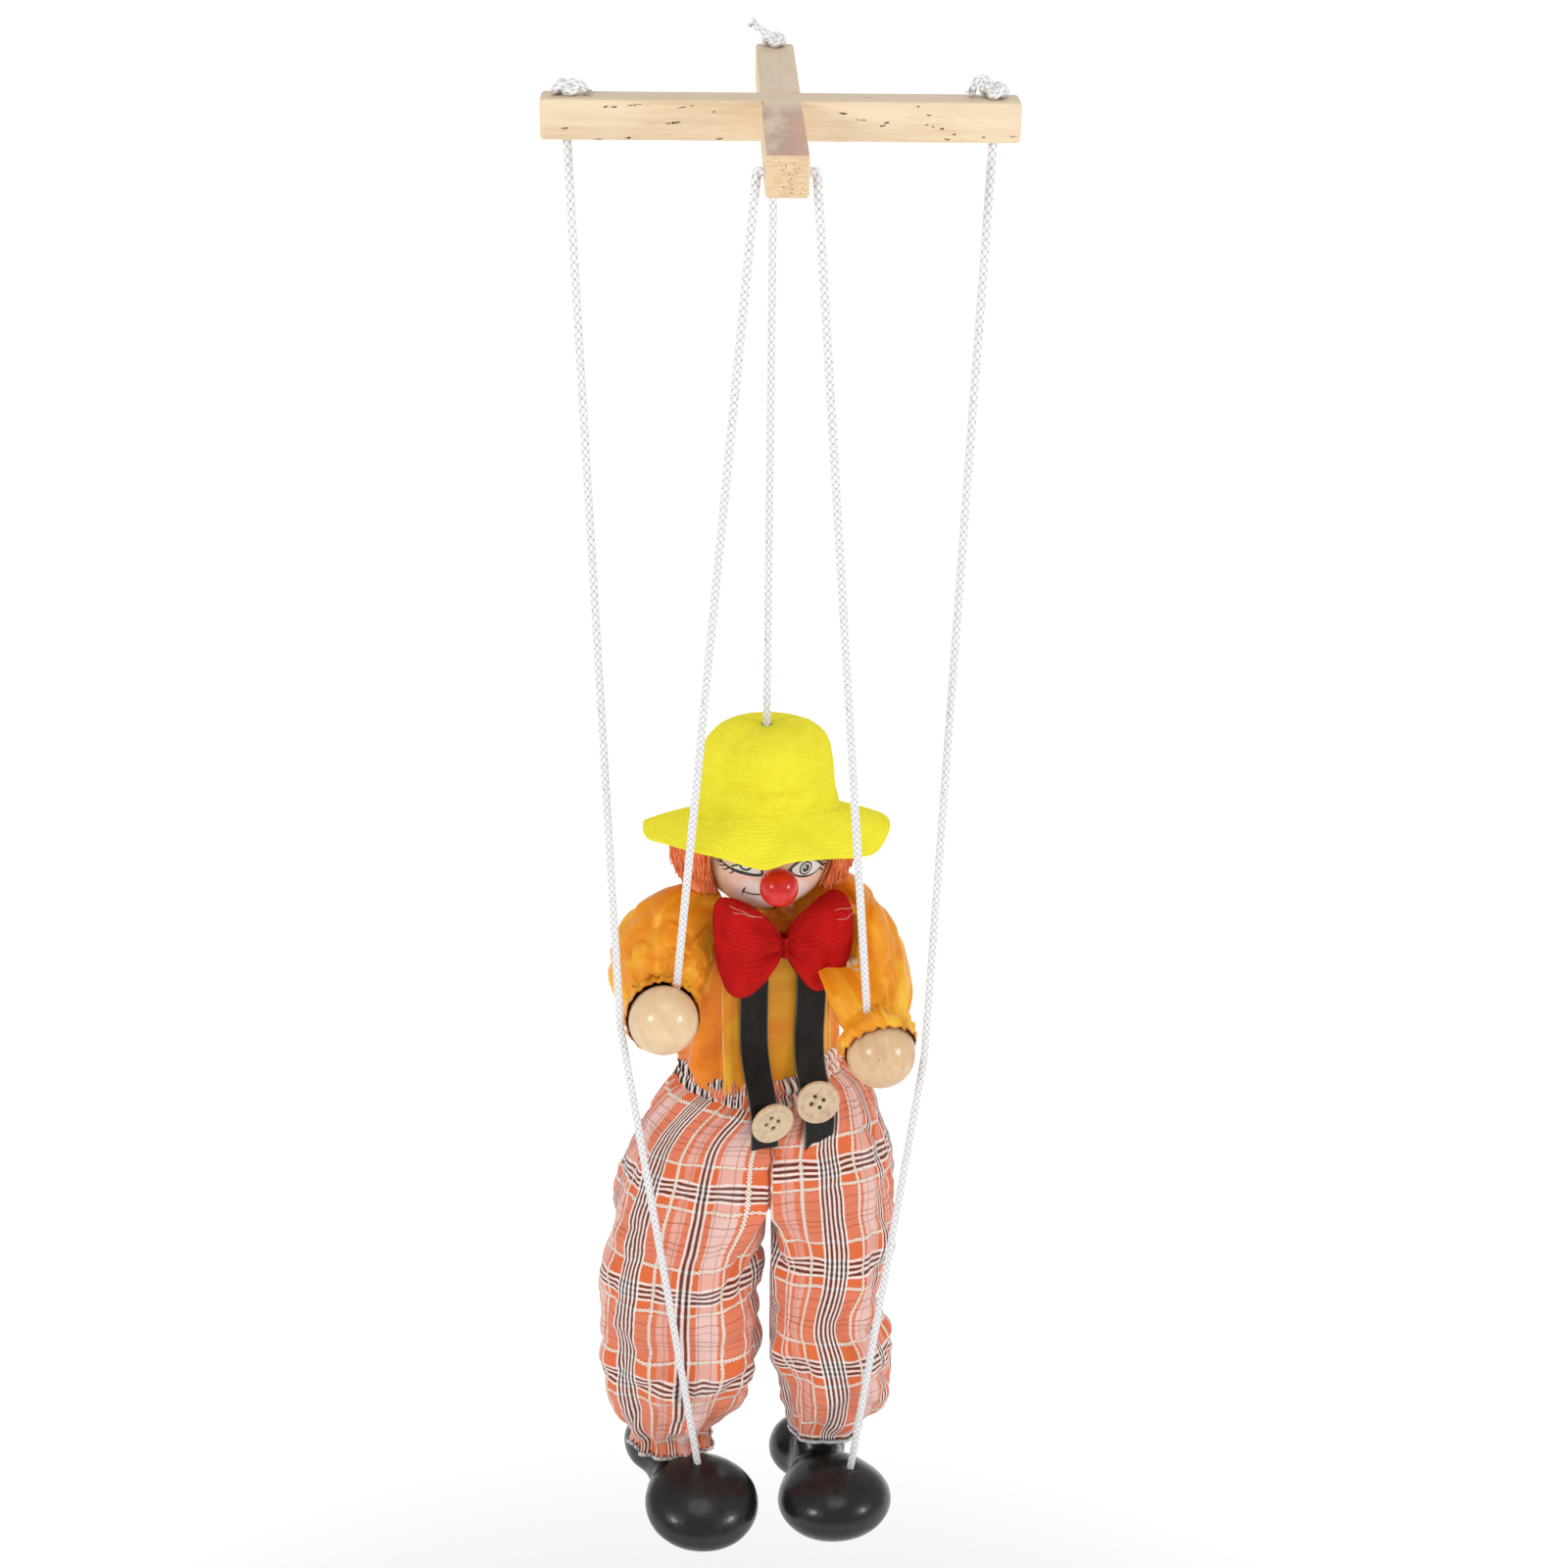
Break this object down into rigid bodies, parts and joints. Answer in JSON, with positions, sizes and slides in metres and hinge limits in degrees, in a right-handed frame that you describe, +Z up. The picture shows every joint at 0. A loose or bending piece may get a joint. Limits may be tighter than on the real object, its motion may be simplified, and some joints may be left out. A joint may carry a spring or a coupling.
{
  "type": "marionette puppet",
  "caption": "String puppet of a clown with a cross shaped wooden control, taut cords, a jointed wooden figure and cloth clothes",
  "frame": {"origin": "centre of the crossing of the two control bars, half way up their thickness", "axes": "+Z up along the head string, -Y the side that the figure faces, +X the viewer's right when facing the figure"},
  "size_m": [0.139, 0.195, 0.5596],
  "materials": {
    "control_wood": "sanded raw wood, fine pores",
    "string_cord": "braided white cord",
    "pin_steel": "plain wire pin",
    "hat_knit": "soft brushed knit",
    "hair_wool": "teased wool",
    "nose_paint": "gloss lacquer on wood",
    "face_paint": "satin varnish with painted features",
    "bow_felt": "fine knit fleece",
    "brace_ribbon": "satin ribbon",
    "button_wood": "turned and waxed",
    "plaid_cotton": "woven check, matt",
    "shirt_satin": "satin with soft sheen",
    "hand_wood": "turned, clear satin varnish",
    "shoe_lacquer": "black gloss lacquer on wood",
    "inner_wood": "plain dowel wood"
  },
  "bodies": {
    "control": {"control_crossbar": "control_wood", "control_fore_aft_bar": "control_wood", "head_string_knot": "string_cord", "left_foot_string_knot": "string_cord", "right_foot_string_knot": "string_cord", "hand_string_bridge": "string_cord"},
    "head_string": {"head_string": "string_cord"},
    "trunk": {"trunk_block": "inner_wood", "neck_cord": "string_cord", "shirt_body": "shirt_satin", "bow_tie": "bow_felt", "left_brace": "brace_ribbon", "right_brace": "brace_ribbon", "left_button": "button_wood", "right_button": "button_wood", "trouser_seat": "plaid_cotton", "left_shoulder_pin": "pin_steel", "right_shoulder_pin": "pin_steel"},
    "head": {"head_ball": "face_paint", "nose": "nose_paint", "hair": "hair_wool", "hat": "hat_knit"},
    "left_upper_arm": {"left_upper_arm": "inner_wood", "left_sleeve_upper": "shirt_satin"},
    "left_forearm": {"left_forearm": "inner_wood", "left_elbow_pin": "pin_steel", "left_sleeve_lower": "shirt_satin"},
    "left_hand": {"left_hand": "hand_wood"},
    "left_thigh": {"left_thigh": "inner_wood", "left_hip_pin": "pin_steel", "left_trouser_thigh": "plaid_cotton"},
    "left_shin": {"left_shin": "inner_wood", "left_knee_pin": "pin_steel", "left_ankle_pin": "pin_steel", "left_trouser_shin": "plaid_cotton"},
    "left_shoe": {"left_shoe": "shoe_lacquer"},
    "left_hand_string": {"left_hand_string": "string_cord"},
    "left_foot_string_upper": {"left_foot_string_upper": "string_cord"},
    "left_foot_string_lower": {"left_foot_string_lower": "string_cord"},
    "right_upper_arm": {"right_upper_arm": "inner_wood", "right_sleeve_upper": "shirt_satin"},
    "right_forearm": {"right_forearm": "inner_wood", "right_elbow_pin": "pin_steel", "right_sleeve_lower": "shirt_satin"},
    "right_hand": {"right_hand": "hand_wood"},
    "right_thigh": {"right_thigh": "inner_wood", "right_hip_pin": "pin_steel", "right_trouser_thigh": "plaid_cotton"},
    "right_shin": {"right_shin": "inner_wood", "right_knee_pin": "pin_steel", "right_ankle_pin": "pin_steel", "right_trouser_shin": "plaid_cotton"},
    "right_shoe": {"right_shoe": "shoe_lacquer"},
    "right_hand_string": {"right_hand_string": "string_cord"},
    "right_foot_string_upper": {"right_foot_string_upper": "string_cord"},
    "right_foot_string_lower": {"right_foot_string_lower": "string_cord"}
  },
  "joints": [
    {"name": "puppet_sway", "type": "hinge", "parent": "control", "child": "head_string", "pos_m": [0, 0.076, -0.006], "axis": [0, 1, 0], "range_deg": [-6, 6]},
    {"name": "trunk_hang", "type": "hinge", "parent": "head_string", "child": "trunk", "pos_m": [0, 0.076, -0.226], "axis": [0, 1, 0], "range_deg": [-7, 7]},
    {"name": "head_turn", "type": "hinge", "parent": "trunk", "child": "head", "pos_m": [0, 0.076, -0.2685], "axis": [0, 0, 1], "range_deg": [-25, 25]},
    {"name": "left_shoulder", "type": "hinge", "parent": "trunk", "child": "left_upper_arm", "pos_m": [-0.02677, 0.0694, -0.298], "axis": [-0.9797, 0.1553, 0.1266], "range_deg": [0, 35], "deforming": ["left_hand_string"]},
    {"name": "left_elbow", "type": "hinge", "parent": "left_upper_arm", "child": "left_forearm", "pos_m": [-0.03954, 0.06578, -0.32378], "axis": [-0.9797, 0.1553, 0.1266], "range_deg": [-11.36, 0]},
    {"name": "left_wrist", "type": "hinge", "parent": "left_forearm", "child": "left_hand", "pos_m": [-0.0354, 0.029, -0.3152], "axis": [-0.9797, 0.1553, 0.1266], "range_deg": [-25.64, 0]},
    {"name": "left_hand_string_swing", "type": "hinge", "parent": "control", "child": "left_hand_string", "pos_m": [-0.0083, -0.07, -0.0022], "axis": [0, 1, 0], "range_deg": [-6, 6]},
    {"name": "right_shoulder", "type": "hinge", "parent": "trunk", "child": "right_upper_arm", "pos_m": [0.02554, 0.0864, -0.298], "axis": [-0.977, -0.1644, -0.1362], "range_deg": [0, 26], "deforming": ["right_hand_string"]},
    {"name": "right_elbow", "type": "hinge", "parent": "right_upper_arm", "child": "right_forearm", "pos_m": [0.03164, 0.06061, -0.31068], "axis": [-0.977, -0.1644, -0.1362], "range_deg": [-16.6, 0]},
    {"name": "right_wrist", "type": "hinge", "parent": "right_forearm", "child": "right_hand", "pos_m": [0.0396, 0.027, -0.3272], "axis": [-0.977, -0.1644, -0.1362], "range_deg": [-11.4, 0]},
    {"name": "right_hand_string_swing", "type": "hinge", "parent": "control", "child": "right_hand_string", "pos_m": [0.0083, -0.07, -0.0022], "axis": [0, 1, 0], "range_deg": [-6, 6]},
    {"name": "left_hip", "type": "hinge", "parent": "trunk", "child": "left_thigh", "pos_m": [-0.01236, 0.07198, -0.398], "axis": [-0.9433, 0.3318, 0], "range_deg": [0, 25], "deforming": ["left_foot_string_lower"]},
    {"name": "left_knee", "type": "hinge", "parent": "left_thigh", "child": "left_shin", "pos_m": [-0.02898, 0.05592, -0.45661], "axis": [-0.9433, 0.3318, 0], "range_deg": [0, 7.25]},
    {"name": "left_ankle", "type": "hinge", "parent": "left_shin", "child": "left_shoe", "pos_m": [-0.03229, 0.0618, -0.51723], "axis": [-0.9433, 0.3318, 0], "range_deg": [-32.25, 0]},
    {"name": "left_foot_string_swing", "type": "hinge", "parent": "control", "child": "left_foot_string_upper", "pos_m": [-0.062, 0, -0.0066], "axis": [0, 1, 0], "range_deg": [-6, 6]},
    {"name": "left_foot_string_follow", "type": "hinge", "parent": "trunk", "child": "left_foot_string_lower", "pos_m": [-0.05013, 0.026, -0.3152], "axis": [-0.9505, 0.2919, -0.1062], "range_deg": [0, 17.14]},
    {"name": "right_hip", "type": "hinge", "parent": "trunk", "child": "right_thigh", "pos_m": [0.01236, 0.08002, -0.398], "axis": [-0.8691, -0.4945, 0], "range_deg": [0, 25], "deforming": ["right_foot_string_lower"]},
    {"name": "right_knee", "type": "hinge", "parent": "right_thigh", "child": "right_shin", "pos_m": [0.03445, 0.05163, -0.44973], "axis": [-0.8691, -0.4945, 0], "range_deg": [0, 7.25]},
    {"name": "right_ankle", "type": "hinge", "parent": "right_shin", "child": "right_shoe", "pos_m": [0.02212, 0.06307, -0.50836], "axis": [-0.8691, -0.4945, 0], "range_deg": [-32.25, 0]},
    {"name": "right_foot_string_swing", "type": "hinge", "parent": "control", "child": "right_foot_string_upper", "pos_m": [0.062, 0, -0.0066], "axis": [0, 1, 0], "range_deg": [-6, 6]},
    {"name": "right_foot_string_follow", "type": "hinge", "parent": "trunk", "child": "right_foot_string_lower", "pos_m": [0.05434, 0.024, -0.3272], "axis": [-0.8775, -0.4769, 0.0497], "range_deg": [0, 17.12]}
  ],
  "couplings": [
    {"joint": "trunk_hang", "follows": "puppet_sway", "ratio": -1},
    {"joint": "left_elbow", "follows": "left_shoulder", "ratio": -0.296},
    {"joint": "left_wrist", "follows": "left_shoulder", "ratio": -0.704},
    {"joint": "left_hand_string_swing", "follows": "puppet_sway", "ratio": 0.72502},
    {"joint": "right_elbow", "follows": "right_shoulder", "ratio": -0.6},
    {"joint": "right_wrist", "follows": "right_shoulder", "ratio": -0.4},
    {"joint": "right_hand_string_swing", "follows": "puppet_sway", "ratio": 0.69738},
    {"joint": "left_knee", "follows": "left_hip", "ratio": 0.25},
    {"joint": "left_ankle", "follows": "left_hip", "ratio": -1.25},
    {"joint": "left_foot_string_swing", "follows": "puppet_sway", "ratio": 0.7129},
    {"joint": "left_foot_string_follow", "follows": "left_hip", "ratio": 0.64575},
    {"joint": "right_knee", "follows": "right_hip", "ratio": 0.25},
    {"joint": "right_ankle", "follows": "right_hip", "ratio": -1.25},
    {"joint": "right_foot_string_swing", "follows": "puppet_sway", "ratio": 0.68622},
    {"joint": "right_foot_string_follow", "follows": "right_hip", "ratio": 0.64479}
  ]
}
